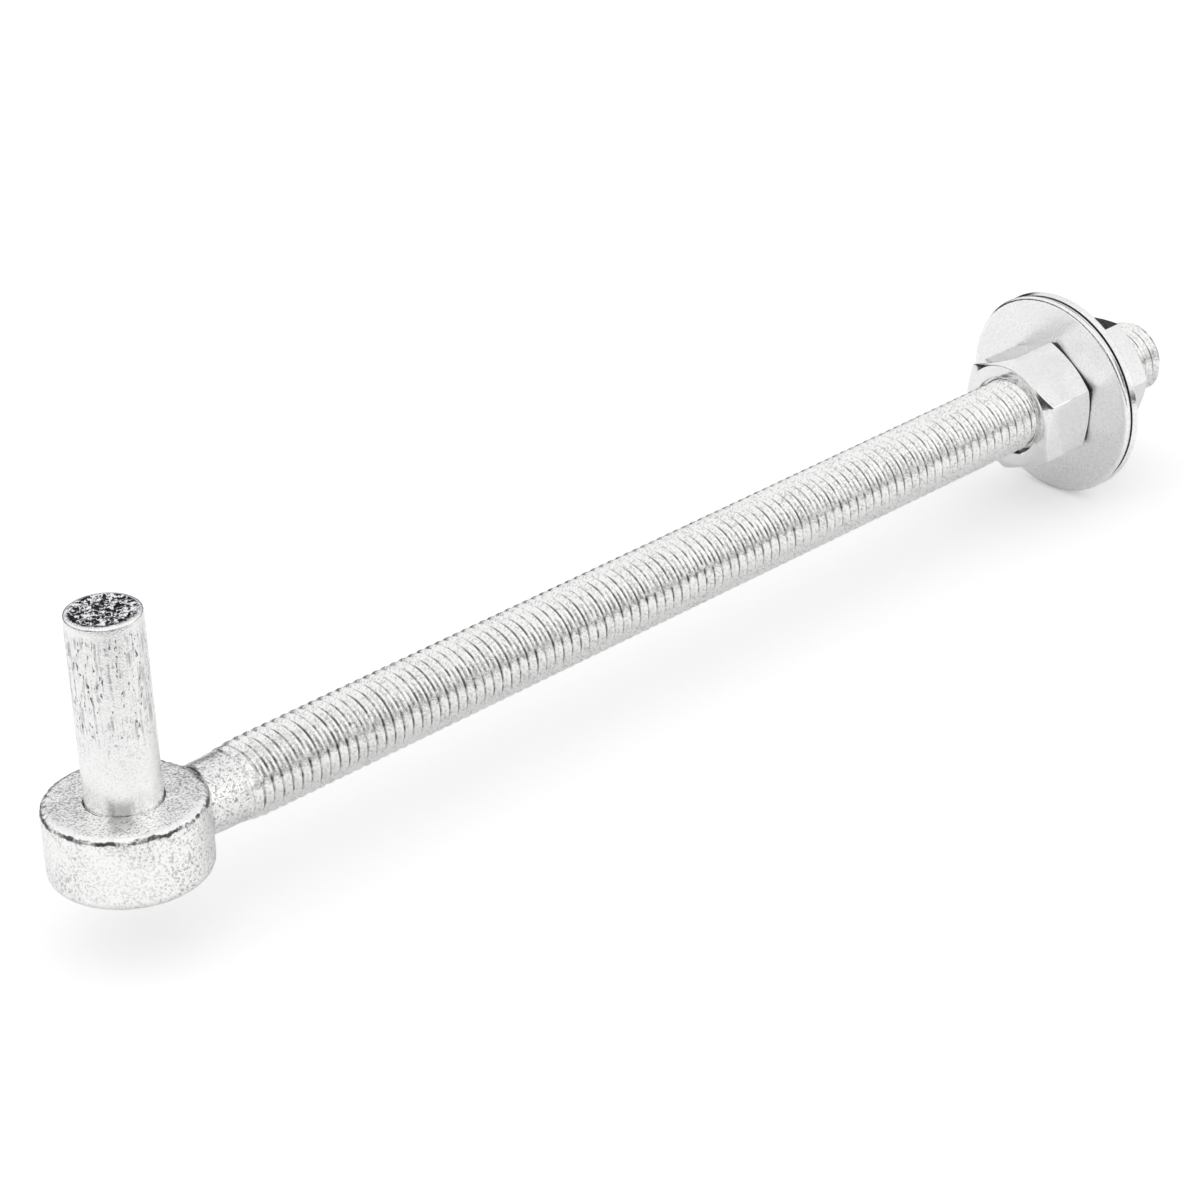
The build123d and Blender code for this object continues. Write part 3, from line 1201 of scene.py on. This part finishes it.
def sky_colour(tree, way):
    """Tone of the studio seen this way from the part."""
    aim = parts(tree, way)
    up = aim[2]
    behind = along(tree, way, BEHIND_WAY)
    sky = spread(tree, along(tree, way, SKY_BEHIND_WAY), *SKY_BEHIND_SPREAD)
    colour = blend(tree, sky, SKY, SKY_BEHIND)
    low = times(tree, spread(tree, behind, *LOW_BEHIND_SPREAD), spread(tree, up, *LOW_BEHIND_HEIGHT))
    colour = blend(tree, low, colour, LOW_BEHIND)
    rise = times(tree, spread(tree, behind, *HORIZON_BEHIND_SPREAD), HORIZON_BEHIND)
    over = minus(tree, up, plus(tree, rise, HORIZON_RISE))
    room = blend(tree, spread(tree, along(tree, way, FRONT_WAY), *FRONT_SPREAD), ROOM, FRONT_LIT)
    colour = blend(tree, spread(tree, over, *HORIZON), room, colour)
    opening = times(
        tree, spread(tree, along(tree, way, OPENING_WAY), *OPENING_SPREAD),
        spread(tree, up, *OPENING_HEIGHT), spread(tree, aim[1], *OPENING_DEPTH),
    )
    return blend(tree, opening, colour, OPENING)


def studio_world():
    """The studio round the part, and plain white where the camera looks past it."""
    world = bpy.data.worlds.new("studio")
    bpy.context.scene.world = world
    tree = bare_tree(world)
    way = tree.nodes.new("ShaderNodeTexCoord").outputs["Generated"]
    soft = add_node(tree, "ShaderNodeBackground", {"Color": sky_colour(tree, way), "Strength": 1.0})
    white = add_node(tree, "ShaderNodeBackground", {"Color": grey(1.0), "Strength": 1.0})
    seen = tree.nodes.new("ShaderNodeLightPath").outputs["Is Camera Ray"]
    mixed = add_node(tree, "ShaderNodeMixShader", {0: seen, 1: soft.outputs[0], 2: white.outputs[0]})
    target = tree.nodes.new("ShaderNodeOutputWorld")
    tree.links.new(mixed.outputs[0], target.inputs["Surface"])


def softbox(name, place, size, watts):
    """A square soft light that faces the part."""
    light = bpy.data.lights.new(name, "AREA")
    light.shape = "SQUARE"
    light.size = size
    light.energy = watts
    lamp = show(name, light)
    lamp.location = place
    lamp.rotation_mode = "QUATERNION"
    lamp.rotation_quaternion = (Vector(LIGHT_AIM) - Vector(place)).to_track_quat("-Z", "Y")


def photo_camera():
    """Camera at the photograph's place and angle."""
    lens = bpy.data.cameras.new("photo_camera")
    lens.lens = LENS
    lens.sensor_width = SENSOR
    lens.clip_start = NEAREST
    camera = show("photo_camera", lens)
    turned = Vector(CAMERA_FORWARD).to_track_quat("-Z", "Y").to_matrix().to_4x4()
    roll = Matrix.Rotation(CAMERA_ROLL, 4, "Z")
    camera.matrix_world = Matrix.Translation(CAMERA_PLACE) @ turned @ roll
    bpy.context.scene.camera = camera


GRAIN = plating_grain_group()
PITS = plating_pits_group()
DEPTH = rod_depth_group()
FORGED = forged_zinc()
DRAWN = drawn_zinc()
SHEARED = sheared_zinc()
NUT = nut_zinc()
GAP_SHADE = gap_shade_zinc()
WASHER = washer_zinc()

eye_bolt_piece()
hinge_pin_piece()
nut_piece("inner_nut", "inner_nut")
nut_piece("outer_nut", "outer_nut")
washer_piece("inner_washer", "inner_washer", 1)
washer_piece("outer_washer", "outer_washer", -1)

studio_floor()
studio_world()
softbox("key_softbox", place=(-0.75, -0.85, 1.05), size=1.2, watts=0.6)
softbox("side_softbox", place=(0.75, -0.85, 0.12), size=0.6, watts=0.8)
photo_camera()
bpy.context.scene.view_settings.view_transform = "Standard"

bpy.context.view_layer.update()
